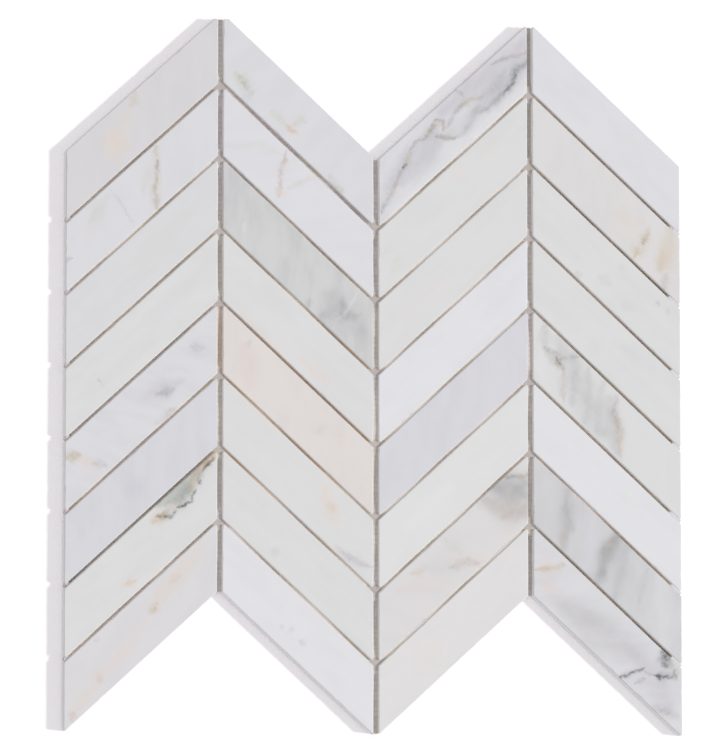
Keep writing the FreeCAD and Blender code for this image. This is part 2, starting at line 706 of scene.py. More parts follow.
def axes(tree, vector):
    """The parts of a vector, under their names X, Y and Z."""
    return add_node(tree, "ShaderNodeSeparateXYZ", {0: vector}).outputs


def new_material(name):
    material = bpy.data.materials.new(name)
    material.use_nodes = True
    tree = material.node_tree
    return material, tree, tree.nodes["Principled BSDF"]


print("node helpers ready")


# %% Colour and noise helpers
def fade(tree, value, start, end, low=0.0, high=1.0):
    """Smooth change from low to high while the value goes from start to end."""
    limits = {"Value": value, "From Min": start, "From Max": end, "To Min": low, "To Max": high}
    return add_node(tree, "ShaderNodeMapRange", limits, interpolation_type="SMOOTHSTEP").outputs[0]


def mix_colour(tree, factor, first, second):
    inputs = {0: factor, 6: first, 7: second}
    return add_node(tree, "ShaderNodeMix", inputs, data_type="RGBA").outputs[2]


def noise(tree, place, size_mm, seed, detail=3.0):
    """Four-dimensional noise with features of about the given size, different for each seed."""
    inputs = {"Vector": place, "W": seed, "Scale": 1 / size_mm, "Detail": detail}
    return add_node(tree, "ShaderNodeTexNoise", inputs, noise_dimensions="4D")


def add_bump(tree, shader, height, strength, distance):
    inputs = {"Height": height, "Strength": strength, "Distance": distance}
    tree.links.new(add_node(tree, "ShaderNodeBump", inputs).outputs[0], shader.inputs["Normal"])


def paint(red, green, blue):
    """A colour as a screen shows it, 0 to 255, turned into the linear values that shaders use."""
    linear = [((v / 255 + 0.055) / 1.055) ** 2.4 for v in (red, green, blue)]
    return (*linear, 1.0)


print("a screen grey of 128 is", round(paint(128, 128, 128)[0], 3), "in a shader")

# %% [markdown]
# ## A vein as a stroke
# Noise alone gives veins, but not the veins of these stones. A stroke is listed instead: a short
# chain of points in the strip's own millimetres, with a colour, a width and a strength. The group below
# measures how far a point of the stone lies from one piece of that chain. The point is shaken by noise
# first, so that a straight stroke comes out ragged, as mineral in a crack does.

# %% Distance to a stroke
STROKE_REACH = 1.2  # in widths, where the stroke has faded out
STROKE_FALL = 1.5  # the larger, the softer the edge

vein_group = bpy.data.node_groups.new("vein_stroke", "ShaderNodeTree")
for socket_name, kind in (("Point", "Vector"), ("Start", "Vector"), ("End", "Vector"),
                          ("Start width", "Float"), ("End width", "Float")):
    vein_group.interface.new_socket(socket_name, in_out="INPUT", socket_type="NodeSocket" + kind)
vein_group.interface.new_socket("Mask", in_out="OUTPUT", socket_type="NodeSocketFloat")
group_in = vein_group.nodes.new("NodeGroupInput").outputs
group_out = vein_group.nodes.new("NodeGroupOutput")
from_start = vectors(vein_group, "SUBTRACT", group_in["Point"], group_in["Start"])
chord = vectors(vein_group, "SUBTRACT", group_in["End"], group_in["Start"])
share = arithmetic(vein_group, "DIVIDE", vectors(vein_group, "DOT_PRODUCT", from_start, chord),
                   vectors(vein_group, "DOT_PRODUCT", chord, chord))
held = add_node(vein_group, "ShaderNodeClamp", {"Value": share}).outputs[0]
to_nearest = scaled(vein_group, chord, held)
away = vectors(vein_group, "LENGTH", vectors(vein_group, "SUBTRACT", from_start, to_nearest))
widening = arithmetic(vein_group, "SUBTRACT", group_in["End width"], group_in["Start width"])
width_here = arithmetic(vein_group, "MULTIPLY_ADD", held, widening, group_in["Start width"])
reach_out = arithmetic(vein_group, "MULTIPLY", width_here, STROKE_REACH)
soft_edge = arithmetic(vein_group, "POWER", fade(vein_group, away, reach_out, 0.0), STROKE_FALL)
vein_group.links.new(soft_edge, group_out.inputs["Mask"])
print("vein group", len(vein_group.nodes), "nodes")

# %% [markdown]
# ## The palette
# The strips come from different slabs: most are white, a little cool or warm, some are grey, lavender or
# blush. A few stone tones and a few mineral colours are enough, because noise varies each of them.

# %% Stone tones and mineral colours
TONES = {
    "snow": paint(226, 225, 229),
    "frost": paint(222, 221, 226),
    "cool": paint(219, 218, 222),
    "lilac": paint(215, 214, 220),
    "chalk": paint(223, 223, 223),
    "pearl": paint(221, 220, 221),
    "dove": paint(218, 217, 219),
    "silver": paint(215, 213, 215),
    "ivory": paint(224, 222, 222),
    "linen": paint(220, 218, 218),
    "blush": paint(224, 218, 215),
    "petal": paint(219, 217, 219),
    "mist": paint(209, 209, 210),
    "ash": paint(209, 208, 211),
}
MINERALS = {
    "peach": paint(228, 206, 188),
    "rose": paint(223, 205, 203),
    "cream": paint(224, 216, 203),
    "tan": paint(203, 186, 162),
    "gold": paint(200, 177, 138),
    "rust": paint(186, 152, 128),
    "umber": paint(108, 90, 72),
    "olive": paint(176, 172, 144),
    "moss": paint(190, 195, 173),
    "sage": paint(178, 182, 174),
    "grey": paint(174, 174, 177),
    "slate": paint(136, 137, 141),
    "taupe": paint(178, 168, 163),
    "mauve": paint(186, 180, 191),
    "charcoal": paint(64, 61, 58),
    "violet": paint(90, 82, 97),
    "white": paint(236, 236, 238),
}
print(len(TONES), "tones", len(MINERALS), "minerals")

# %% [markdown]
# ## The stone book
# Each strip gets a tone, how strong its soft grey clouds are, the way its grain runs in degrees from the
# strip's length, and its strokes. A stroke is a mineral or a tone, a width, a strength and then its points.
# Widths and places are millimetres in the strip's own frame. Later strokes lie over earlier ones.

# %% Write the first column's stones
STONE_BOOK = {}
STONE_BOOK[1, 1] = ("silver", 0.08, 45, [
    ("cream", 7.5, 0.25, (36, 10), (52, 14)),
    ("peach", 7.0, 0.36, (39, 4), (42, 8), (44, 13), (46, 17)),
    ("peach", 4.0, 0.39, (45, 9), (48, 6)),
    ("peach", 4.0, 0.36, (51, 17), (55, 18), (59, 20)),
    ("gold", 4.0, 0.28, (61, 20), (64, 21), (67, 23)),
    ("rose", 3.2, 0.28, (63, 15), (65, 16)),
])
STONE_BOOK[1, 2] = ("cool", 0.08, 45, [
    ("cream", 6.2, 0.20, (26, 14), (34, 17)),
    ("moss", 5.4, 0.26, (32, 17), (38, 18), (46, 21)),
    ("moss", 3.5, 0.28, (61, 11), (66, 15), (70, 18)),
    ("tan", 4.2, 0.34, (61, 1), (65, 8), (71, 13), (80, 23)),
    ("taupe", 2.0, 0.42, (61, 1), (63, 5), (66, 8)),
    ("olive", 2.1, 0.62, (64, 7), (67, 10), (70, 12)),
    ("taupe", 2.0, 0.44, (69, 12), (73, 15), (76, 18)),
    ("slate", 1.8, 0.30, (73, 15), (76, 18)),
    ("moss", 2.4, 0.45, (77, 20), (80, 23)),
    ("grey", 1.3, 0.26, (47, 2), (48, 9), (49, 16), (49, 22)),
    ("slate", 1.8, 0.36, (10, 10), (12, 11), (14, 10)),
])
STONE_BOOK[1, 3] = ("dove", 0.08, 0, [("cream", 10.0, 0.12, (60, 12), (90, 14))])
STONE_BOOK[1, 4] = ("pearl", 0.10, 0, [
    ("grey", 1.9, 0.34, (31, 10), (32, 9)),
    ("grey", 1.6, 0.29, (30, 7), (31, 7)),
    ("lilac", 7.5, 0.20, (70, 10), (90, 12)),
])
STONE_BOOK[1, 5] = ("cool", 0.14, 120, [
    ("tan", 4.8, 0.45, (18, 19), (23, 16)),
    ("olive", 3.8, 0.44, (18, 18), (21, 17), (24, 16)),
    ("rose", 6.4, 0.25, (21, 8), (24, 3)),
    ("peach", 5.1, 0.40, (22, 15), (24, 12), (26, 8)),
    ("taupe", 4.0, 0.34, (26, 8), (28, 6), (29, 3)),
    ("mauve", 8.8, 0.32, (66, 15), (74, 12), (84, 9)),
    ("grey", 4.8, 0.47, (71, 12), (75, 10), (79, 8)),
    ("slate", 3.8, 0.20, (72, 12), (75, 9), (78, 8)),
    ("taupe", 4.5, 0.24, (62, 3), (67, 2), (73, 1)),
    ("grey", 3.5, 0.30, (66, 2), (72, 1)),
    ("mauve", 6.2, 0.20, (98, 18), (104, 15)),
    ("slate", 3.2, 0.21, (99, 19), (101, 17), (103, 15)),
])
STONE_BOOK[1, 6] = ("lilac", 0.12, 45, [("mauve", 9.0, 0.14, (52, 12), (62, 11))])
STONE_BOOK[1, 7] = ("pearl", 0.08, 0, [
    ("rose", 4.8, 0.22, (70, 12), (74, 11)),
    ("peach", 4.0, 0.50, (45, 6), (48, 5), (51, 4)),
    ("tan", 2.6, 0.40, (46, 6), (50, 4)),
    ("sage", 9.0, 0.80, (84, 24), (96, 24), (112, 26)),
    ("sage", 5.5, 0.60, (84, 19), (92, 20), (101, 21)),
    ("grey", 5.0, 0.45, (80, 17), (92, 18), (101, 19)),
    ("sage", 7.5, 0.70, (97, 22), (105, 23), (116, 25)),
    ("slate", 3.0, 0.42, (86, 22), (92, 20), (99, 21), (106, 23)),
    ("slate", 3.0, 0.30, (99, 20), (108, 21)),
    ("moss", 5.0, 0.40, (84, 19), (92, 20)),
    ("gold", 5.0, 0.62, (75, 20), (79, 19), (83, 19)),
    ("umber", 2.4, 0.66, (79, 20), (82, 18), (84, 17)),
    ("charcoal", 1.5, 0.55, (82, 18), (84, 16), (87, 17)),
    ("rose", 3.0, 0.50, (86, 20), (88, 18)),
    ("charcoal", 1.4, 0.62, (88, 18), (91, 17), (93, 16)),
    ("charcoal", 1.5, 0.72, (91, 17), (95, 16), (97, 15), (99, 17), (102, 18)),
    ("gold", 3.2, 0.55, (100, 20), (104, 21), (107, 21)),
    ("charcoal", 1.5, 0.85, (105, 19), (107, 19)),
    ("slate", 2.2, 0.45, (106, 20), (112, 21)),
    ("rust", 5.4, 0.66, (107, 23), (114, 23), (122, 25)),
    ("tan", 4.4, 0.50, (113, 22), (121, 24)),
    ("umber", 2.0, 0.60, (111, 21), (114, 21), (118, 22)),
    ("charcoal", 1.6, 0.60, (113, 21), (117, 21)),
])
STONE_BOOK[1, 8] = ("petal", 0.08, 10, [
    ("rose", 7.5, 0.30, (30, 7), (52, 10), (64, 13)),
    ("peach", 6.4, 0.34, (70, 14), (80, 17), (92, 19), (110, 21)),
    ("tan", 3.2, 0.31, (86, 19), (91, 19)),
    ("tan", 3.8, 0.45, (69, 14), (71, 15), (74, 16)),
    ("umber", 1.6, 0.26, (70, 14), (72, 15)),
    ("taupe", 3.2, 0.22, (29, 6), (31, 8)),
    ("peach", 4.2, 0.36, (29, 8), (32, 10)),
    ("peach", 5.1, 0.34, (9, 4), (18, 6), (27, 6)),
    ("rust", 3.5, 0.28, (6, 2), (8, 3), (10, 4)),
    ("peach", 4.8, 0.28, (44, 10), (47, 7)),
    ("grey", 1.9, 0.34, (40, 22), (42, 22)),
])
print("strips in the book", len(STONE_BOOK))

# %% Write the second column's stones
STONE_BOOK[2, 1] = ("cool", 0.08, 90, [
    ("mauve", 6.2, 0.22, (8, 8), (15, 5)),
    ("moss", 6.4, 0.47, (1, 7), (7, 7), (11, 6)),
    ("olive", 3.2, 0.44, (3, 8), (6, 7), (9, 6)),
    ("rust", 2.2, 0.31, (6, 6), (8, 7)),
    ("grey", 5.8, 0.31, (9, 7), (13, 4), (15, 7)),
    ("moss", 3.8, 0.36, (27, 6), (30, 6), (35, 5)),
    ("peach", 4.8, 0.40, (37, 5), (43, 7)),
    ("rust", 2.6, 0.36, (37, 5), (39, 5), (42, 7)),
    ("moss", 3.2, 0.36, (39, 8), (40, 12), (42, 13)),
    ("grey", 3.8, 0.40, (68, 3), (73, 1), (78, 1)),
    ("moss", 2.2, 0.45, (74, 1), (77, 1)),
])
STONE_BOOK[2, 2] = ("frost", 0.06, 45, [
    ("moss", 3.5, 0.18, (-3, 5), (3, 10), (9, 16), (20, 20)),
    ("rose", 5.1, 0.34, (21, 23), (26, 15), (31, 6)),
    ("taupe", 2.0, 0.44, (21, 23), (24, 18), (28, 12), (31, 8)),
    ("tan", 1.7, 0.38, (22, 21), (25, 17)),
    ("rust", 2.3, 0.36, (29, 9), (31, 6), (33, 4)),
    ("peach", 3.0, 0.42, (31, 5), (33, 6), (35, 8)),
    ("moss", 2.9, 0.34, (34, 10), (36, 15), (38, 20)),
    ("peach", 3.5, 0.34, (37, 20), (39, 24)),
])
STONE_BOOK[2, 3] = ("mist", 0.32, 130, [
    ("grey", 15.0, 0.40, (60, 12), (82, 10)),
    ("slate", 7.0, 0.24, (66, 14), (70, 10), (76, 13)),
    ("slate", 4.2, 0.28, (66, 13), (69, 12), (70, 9)),
    ("slate", 4.2, 0.28, (71, 9), (74, 12), (77, 15)),
    ("slate", 5.6, 0.26, (64, 2), (66, 7), (69, 10)),
    ("slate", 3.2, 0.29, (53, 4), (55, 1)),
    ("white", 1.5, 0.36, (69, 23), (70, 16), (71, 10), (70, 6)),
    ("white", 2.6, 0.28, (6, 9), (9, 6)),
])
STONE_BOOK[2, 4] = ("pearl", 0.08, 0, [
    ("peach", 6.2, 0.28, (46, 6), (64, 7)),
    ("peach", 4.0, 0.25, (8, 2), (40, 2)),
])
STONE_BOOK[2, 5] = ("blush", 0.10, 130, [
    ("rose", 9.0, 0.45, (-2, 17), (6, 11), (14, 5)),
    ("mauve", 2.9, 0.32, (-2, 21), (0, 18)),
    ("olive", 4.8, 0.22, (52, 14), (55, 12)),
    ("rose", 5.6, 0.34, (60, 16), (64, 18)),
    ("rose", 6.4, 0.28, (72, 10), (76, 7)),
])
STONE_BOOK[2, 6] = ("pearl", 0.06, 0, [
    ("cream", 6.2, 0.25, (44, 21), (52, 18)),
    ("peach", 6.4, 0.44, (50, 18), (56, 15), (60, 13), (64, 11)),
    ("tan", 3.8, 0.28, (56, 15), (60, 13)),
    ("mauve", 6.2, 0.20, (80, 4), (90, 6)),
    ("taupe", 3.8, 0.30, (73, 2), (78, 2), (82, 3)),
    ("mauve", 2.3, 0.50, (76, 2), (82, 3), (87, 5), (92, 8)),
])
STONE_BOOK[2, 7] = ("pearl", 0.08, 0, [("grey", 3.5, 0.31, (28, 8), (30, 5))])
STONE_BOOK[2, 8] = ("snow", 0.08, 0, [
    ("grey", 1.9, 0.34, (31, 8), (32, 8)),
    ("grey", 2.2, 0.42, (36, 10), (37, 10)),
    ("grey", 2.7, 0.32, (43, 9), (46, 9)),
])
print("strips in the book", len(STONE_BOOK))

# %% Write the third column's stones
STONE_BOOK[3, 1] = ("cool", 0.20, 20, [
    ("mauve", 13.0, 0.42, (62, 20), (90, 19), (116, 18)),
    ("grey", 9.0, 0.30, (76, 10), (94, 11), (112, 13)),
    ("mauve", 9.0, 0.34, (16, 12), (34, 14), (52, 14)),
    ("grey", 8.0, 0.26, (24, 8), (40, 9), (52, 12)),
    ("grey", 7.0, 0.26, (58, 10), (66, 8), (76, 10)),
    ("snow", 6.5, 0.75, (10, 0), (50, 0), (100, 1)),
    ("grey", 5.0, 0.30, (6, 5), (15, 8), (24, 12), (33, 15), (44, 17)),
    ("peach", 3.2, 0.36, (13, 8), (19, 9), (23, 11)),
    ("slate", 1.9, 0.44, (6, 4), (10, 6), (15, 8), (20, 10), (24, 12), (29, 14)),
    ("olive", 2.8, 0.55, (29, 14), (33, 15), (37, 16)),
    ("slate", 1.6, 0.40, (36, 16), (41, 18), (44, 17)),
    ("charcoal", 1.5, 0.62, (28, 14), (31, 14)),
    ("grey", 5.5, 0.42, (45, 16), (51, 17), (57, 18)),
    ("olive", 3.2, 0.50, (45, 16), (49, 17), (54, 18)),
    ("slate", 2.0, 0.46, (45, 16), (49, 17), (53, 18), (57, 19)),
    ("rust", 3.4, 0.36, (54, 17), (57, 18), (58, 15), (56, 13)),
    ("slate", 1.8, 0.42, (57, 19), (59, 16), (56, 13)),
    ("slate", 2.2, 0.56, (51, 13), (54, 11), (57, 7)),
    ("olive", 3.2, 0.48, (55, 10), (58, 7)),
    ("grey", 3.0, 0.55, (57, 7), (63, 6), (68, 7), (73, 9), (76, 10)),
    ("slate", 2.2, 0.45, (58, 13), (63, 14), (68, 16), (73, 16)),
    ("olive", 3.4, 0.48, (69, 16), (73, 16), (77, 16)),
    ("olive", 2.4, 0.44, (76, 15), (80, 14), (82, 13)),
    ("grey", 4.0, 0.40, (80, 13), (90, 13), (99, 15)),
    ("grey", 6.0, 0.38, (74, 8), (84, 8), (98, 10), (110, 12)),
    ("slate", 2.6, 0.48, (75, 7), (80, 7), (84, 7), (88, 8), (93, 8)),
    ("slate", 3.4, 0.48, (90, 8), (95, 8), (100, 10)),
    ("charcoal", 1.6, 0.50, (91, 8), (96, 8), (98, 9), (101, 11)),
    ("slate", 2.6, 0.58, (99, 11), (104, 12), (112, 11)),
    ("slate", 2.0, 0.44, (97, 22), (102, 20), (107, 17), (113, 15)),
    ("rose", 3.4, 0.30, (106, 18), (112, 16)),
    ("grey", 2.2, 0.55, (74, 24), (75, 19)),
])
STONE_BOOK[3, 2] = ("pearl", 0.08, 0, [
    ("peach", 6.4, 0.18, (67, 18), (74, 21)),
    ("peach", 5.6, 0.16, (86, 17), (96, 20)),
    ("moss", 5.6, 0.22, (14, 5), (22, 9)),
])
STONE_BOOK[3, 3] = ("pearl", 0.08, 0, [("rose", 9.0, 0.12, (30, 12), (52, 10))])
STONE_BOOK[3, 4] = ("snow", 0.08, 0, [("lilac", 9.0, 0.30, (80, 10), (108, 14))])
STONE_BOOK[3, 5] = ("lilac", 0.10, 45, [("cream", 6.2, 0.22, (76, 18), (83, 19))])
STONE_BOOK[3, 6] = ("chalk", 0.05, 0, [("white", 9.0, 0.12, (30, 12), (60, 12))])
STONE_BOOK[3, 7] = ("linen", 0.06, 130, [
    ("rose", 9.0, 0.30, (32, 18), (44, 10), (52, 5)),
    ("taupe", 14.0, 0.54, (92, 22), (99, 12), (102, 4)),
    ("grey", 13.0, 0.62, (100, 24), (106, 17), (108, 9)),
    ("slate", 10.0, 0.28, (100, 24), (106, 19), (112, 16)),
    ("taupe", 7.0, 0.46, (94, 10), (99, 6), (104, 6)),
    ("grey", 9.0, 0.40, (104, 21), (110, 18), (113, 13)),
    ("umber", 2.2, 0.24, (107, 23), (112, 21), (116, 18)),
    ("charcoal", 1.5, 0.24, (107, 22), (112, 21)),
    ("rust", 2.6, 0.34, (112, 20), (116, 18)),
    ("tan", 3.8, 0.40, (41, 20), (44, 18), (46, 17)),
    ("grey", 9.0, 0.14, (48, 18), (60, 8)),
    ("moss", 6.0, 0.24, (64, 20), (65, 11)),
    ("rose", 7.0, 0.36, (60, 11), (64, 8), (70, 2)),
    ("taupe", 3.0, 0.42, (57, 10), (61, 8), (65, 6), (69, 2)),
    ("rose", 6.2, 0.25, (90, 8), (96, 5)),
])
STONE_BOOK[3, 8] = ("ivory", 0.06, 0, [("rose", 10.0, 0.14, (34, 8), (50, 12))])
print("strips in the book", len(STONE_BOOK))

# %% Write the fourth column's stones
STONE_BOOK[4, 1] = ("frost", 0.08, 0, [("cream", 6.2, 0.18, (42, 14), (74, 20))])
STONE_BOOK[4, 2] = ("linen", 0.08, 130, [
    ("cream", 10.0, 0.32, (46, 12), (60, 10)),
    ("rose", 7.5, 0.22, (46, 10), (58, 16)),
    ("tan", 5.4, 0.46, (63, 16), (65, 11), (67, 6), (68, 2)),
    ("rust", 2.6, 0.30, (64, 14), (66, 9)),
    ("umber", 1.6, 0.26, (64, 11), (66, 9)),
    ("gold", 2.1, 0.45, (66, 6), (68, 2)),
    ("cream", 9.0, 0.40, (72, 21), (82, 10)),
    ("tan", 7.5, 0.38, (71, 24), (76, 17), (79, 11), (80, 6)),
    ("gold", 4.2, 0.28, (76, 13), (79, 9), (80, 6)),
    ("rose", 4.8, 0.39, (79, 13), (83, 9)),
    ("olive", 3.5, 0.32, (84, 7), (86, 4), (88, 2)),
    ("grey", 4.8, 0.29, (84, 6), (89, 1)),
])
STONE_BOOK[4, 3] = ("pearl", 0.08, 0, [
    ("grey", 5.0, 0.20, (37, 8), (44, 9)),
    ("gold", 3.2, 0.22, (43, 20), (44, 18)),
    ("slate", 2.0, 0.36, (67, 18), (69, 18)),
    ("grey", 2.2, 0.30, (73, 19), (75, 18)),
    ("grey", 4.8, 0.20, (56, 7), (60, 7)),
    ("grey", 2.6, 0.31, (28, 3), (30, 2)),
])
STONE_BOOK[4, 4] = ("pearl", 0.08, 0, [
    ("mauve", 6.4, 0.12, (33, 8), (37, 6)),
    ("mauve", 6.4, 0.12, (46, 17), (54, 19)),
])
STONE_BOOK[4, 5] = ("pearl", 0.06, 130, [
    ("grey", 14.0, 0.34, (-2, 22), (22, 12), (42, 4)),
    ("grey", 5.5, 0.34, (7, 23), (14, 14), (22, 4)),
    ("grey", 4.6, 0.30, (17, 23), (25, 13), (32, 3)),
    ("grey", 5.5, 0.34, (26, 23), (33, 12), (39, 3)),
    ("snow", 5.5, 0.45, (-6, 12), (4, 3)),
    ("grey", 5.0, 0.46, (-14, 24), (-9, 19), (-6, 16)),
    ("taupe", 4.4, 0.42, (-4, 16), (4, 17)),
    ("slate", 5.0, 0.34, (-6, 15), (0, 15), (6, 14)),
    ("rust", 2.8, 0.36, (2, 13), (6, 13)),
    ("umber", 2.2, 0.65, (1, 15), (4, 14)),
    ("slate", 3.6, 0.34, (3, 17), (9, 23)),
    ("taupe", 2.8, 0.42, (6, 14), (11, 9), (15, 5), (18, 2)),
    ("grey", 9.0, 0.36, (34, 19), (44, 9), (54, 2)),
    ("taupe", 4.4, 0.50, (36, 22), (41, 15), (46, 12), (51, 8), (57, 2)),
    ("tan", 3.2, 0.32, (42, 16), (50, 10), (56, 4), (59, 1)),
    ("slate", 2.6, 0.24, (38, 19), (42, 14), (48, 11)),
])
STONE_BOOK[4, 6] = ("snow", 0.06, 0, [("cream", 7.5, 0.14, (45, 14), (55, 13))])
STONE_BOOK[4, 7] = ("ash", 0.20, 128, [
    ("pearl", 14.0, 0.55, (64, 24), (78, 10), (88, 0)),
    ("lilac", 8.0, 0.50, (20, 22), (28, 10), (32, 3)),
    ("grey", 9.0, 0.46, (1, 24), (9, 14), (19, 1)),
    ("sage", 5.0, 0.30, (3, 21), (9, 13), (17, 5)),
    ("slate", 4.0, 0.20, (5, 18), (9, 13)),
    ("slate", 4.4, 0.18, (11, 13), (17, 10)),
    ("rust", 4.2, 0.18, (12, 9), (15, 5), (18, 2)),
    ("grey", 10.0, 0.40, (32, 27), (36, 16), (42, 2)),
    ("slate", 8.0, 0.50, (33, 27), (36, 18), (37, 13), (40, 6)),
    ("olive", 5.5, 0.32, (34, 21), (37, 12)),
    ("grey", 6.4, 0.36, (38, 9), (43, 0)),
    ("rust", 1.8, 0.30, (32, 21), (34, 19)),
    ("grey", 7.0, 0.40, (41, 24), (48, 12), (54, 0)),
    ("grey", 4.0, 0.24, (56, 22), (64, 8)),
])
STONE_BOOK[4, 8] = ("cool", 0.14, 45, [
    ("rose", 8.0, 0.28, (-10, 18), (2, 8)),
    ("grey", 16.0, 0.26, (16, 6), (34, 12), (56, 16)),
    ("taupe", 14.0, 0.20, (10, 6), (30, 10), (52, 8)),
    ("mauve", 12.0, 0.34, (52, 14), (72, 12), (86, 5)),
    ("tan", 3.2, 0.66, (-9, 9), (-5, 13), (-2, 17), (0, 21)),
    ("gold", 2.2, 0.42, (-8, 10), (-4, 15)),
    ("rose", 2.8, 0.40, (-3, 17), (0, 20)),
    ("peach", 4.2, 0.34, (0, 7), (4, 9), (8, 11)),
    ("slate", 3.4, 0.40, (58, 0), (60, 4), (63, 11)),
    ("violet", 1.7, 0.82, (58, 0), (60, 3), (61, 7)),
    ("violet", 1.5, 0.72, (61, 6), (62, 9), (64, 12)),
    ("violet", 1.5, 0.22, (64, 11), (67, 11), (70, 12)),
    ("slate", 4.2, 0.55, (71, 13), (76, 17)),
    ("charcoal", 2.0, 0.92, (70, 12), (73, 13), (75, 16)),
    ("slate", 5.0, 0.75, (65, 23), (68, 21), (71, 19)),
    ("violet", 2.8, 0.70, (66, 24), (68, 21)),
    ("violet", 2.4, 0.55, (68, 19), (71, 18)),
    ("sage", 4.6, 0.68, (71, 21), (75, 20), (78, 18)),
    ("charcoal", 2.2, 0.46, (74, 20), (77, 18), (76, 16)),
    ("violet", 2.2, 0.28, (66, 3), (67, 8)),
    ("rose", 4.0, 0.34, (86, 3), (91, 4)),
    ("grey", 5.6, 0.40, (79, 2), (85, 5), (91, 6)),
    ("violet", 3.0, 0.24, (81, 1), (87, 4)),
])
MINERALS.update(TONES)
strokes = sum(len(page[3]) for page in STONE_BOOK.values())
print("strokes", strokes, "on", len(STONE_BOOK), "strips")

# %% [markdown]
# ## The marble
# A stone's colour is built up as the real one was: a ground tone, soft clouds that run along the grain, and
# then its mineral strokes. Only the face is polished. The sides and the back are sawn, so there the shader
# turns rough, shows saw marks as bump and turns pale up to a millimetre or two below the face. That pale is
# partly the dried slurry of the saw and partly painted light: the bounce from the white table onto the shaded
# sides. The face that points up is known from its normal, so one material serves the whole stone.

# %% Place the pattern on a strip
SWAY = ((14.0, 3.0), (2.4, 1.2))  # size and reach of each shake, in millimetres
CLOUD_STRETCH = (3.0, 1.0, 1.0)
CLOUD_SIZE = 7.0
CLOUD_EDGES = (0.36, 0.70)  # noise values where a cloud starts and where it is full


def strip_millimetres(tree, strip):
    """The strip's own frame in millimetres, from object coordinates in metres."""
    turn = -slope(strip) * CHEVRON_ANGLE
    start = Matrix.Rotation(turn, 3, "Z") @ (low_left(strip) / MM)
    place = add_node(tree, "ShaderNodeTexCoord").outputs["Object"]
    inputs = {"Vector": place, "Location": -start, "Rotation": (0, 0, turn), "Scale": (1 / MM,) * 3}
    return add_node(tree, "ShaderNodeMapping", inputs).outputs[0]


def shaken(tree, place, seed):
    """The same place, moved about by two sizes of noise."""
    for size, reach in SWAY:
        shake = noise(tree, place, size, seed, 2.0).outputs["Color"]
        push = vectors(tree, "SUBTRACT", shake, (0.5, 0.5, 0.5))
        place = vectors(tree, "ADD", place, scaled(tree, push, 2 * reach))
    return place


def clouds(tree, place, grain, seed):
    """Soft drifts that are drawn out along the grain."""
    inputs = {"Vector": place, "Rotation": (0, 0, math.radians(grain)), "Scale": CLOUD_STRETCH}
    drawn = add_node(tree, "ShaderNodeMapping", inputs, vector_type="TEXTURE").outputs[0]
    return fade(tree, noise(tree, drawn, CLOUD_SIZE, seed + 5, 5.0).outputs[0], *CLOUD_EDGES)


print("clouds of", CLOUD_SIZE, "mm, strokes shaken by up to", sum(reach for _, reach in SWAY), "mm")

# %% Draw a stroke
TAPER = 0.45  # share of its width that a stroke keeps at its ends


def flat(tree, place):
    """Drops the height, so that a stroke runs straight down through the stone."""
    return vectors(tree, "MULTIPLY", place, (1, 1, 0))


def stroke_mask(tree, place, width, points):
    """How much of a stroke covers a point, over all the pieces of its chain. Its two ends run out thin."""
    if len(points) == 2:
        points = (points[0], [(a + b) / 2 for a, b in zip(*points)], points[1])
    widths = [width * TAPER] + [width] * (len(points) - 2) + [width * TAPER]
    whole = None
    for k in range(len(points) - 1):
        inputs = {"Point": place, "Start": (*points[k], 0), "End": (*points[k + 1], 0),
                  "Start width": widths[k], "End width": widths[k + 1]}
        mask = add_node(tree, "ShaderNodeGroup", inputs, node_tree=vein_group).outputs["Mask"]
        whole = mask if whole is None else arithmetic(tree, "MAXIMUM", whole, mask)
    return whole


print("strokes end at", TAPER, "of their width")

# %% Colour a stone
WIDE_STROKE = 7.0  # from this width on, a stroke is not broken into grains
SOFT_SIZE, GRAIN_SIZE = 7.0, 1.6
THIN_SPOTS = (0.3, 0.6)  # noise values where a stroke is thin and where it is full
SOFT_LEAST, GRAIN_LEAST = 0.65, 0.5


def stone_colour(tree, strip, place):
    tone, veil, grain, strokes = STONE_BOOK[strip]
    seed = 10.0 * strip[0] + strip[1]
    drift = arithmetic(tree, "MULTIPLY", clouds(tree, place, grain, seed), veil)
    colour = mix_colour(tree, drift, TONES[tone], MINERALS["grey"])
    ragged = flat(tree, shaken(tree, place, seed))
    soft = fade(tree, noise(tree, place, SOFT_SIZE, seed + 9).outputs[0], *THIN_SPOTS, SOFT_LEAST)
    grains = fade(tree, noise(tree, place, GRAIN_SIZE, seed + 11, 4.0).outputs[0], *THIN_SPOTS, GRAIN_LEAST)
    broken = arithmetic(tree, "MULTIPLY", soft, grains)
    for mineral, width, strength, *points in strokes:
        density = soft if width >= WIDE_STROKE else broken
        cover = arithmetic(tree, "MULTIPLY", stroke_mask(tree, ragged, width, points), strength)
        colour = mix_colour(tree, arithmetic(tree, "MULTIPLY", cover, density), colour, MINERALS[mineral])
    return colour


print("wide strokes from", WIDE_STROKE, "mm")

# %% Polish the face and saw the sides
FACING_UP = (0.35, 0.85)  # upward part of the normal, on sawn and on polished stone
POLISH = 0.16
SAWN_ROUGHNESS = 0.75
SAW_STRETCH = (0.06, 0.06, 1.0)
SAW_MARK = 0.5
SAW_BUMP = 0.6
SAW_DEPTH = 0.1 * MM
# Partly painted light: this pale slurry colour also paints the light that the white table bounces onto the
# shaded sides.
SLURRY_AND_PAINTED_BOUNCE = paint(245, 244, 244)
SLURRY_AND_BOUNCE_STREAKS = (0.3, 0.7, 0.3, 0.6)
SLURRY_AND_BOUNCE_EDGE = (2.2, 0.8)  # millimetres above the stone's mid height, from bare to covered


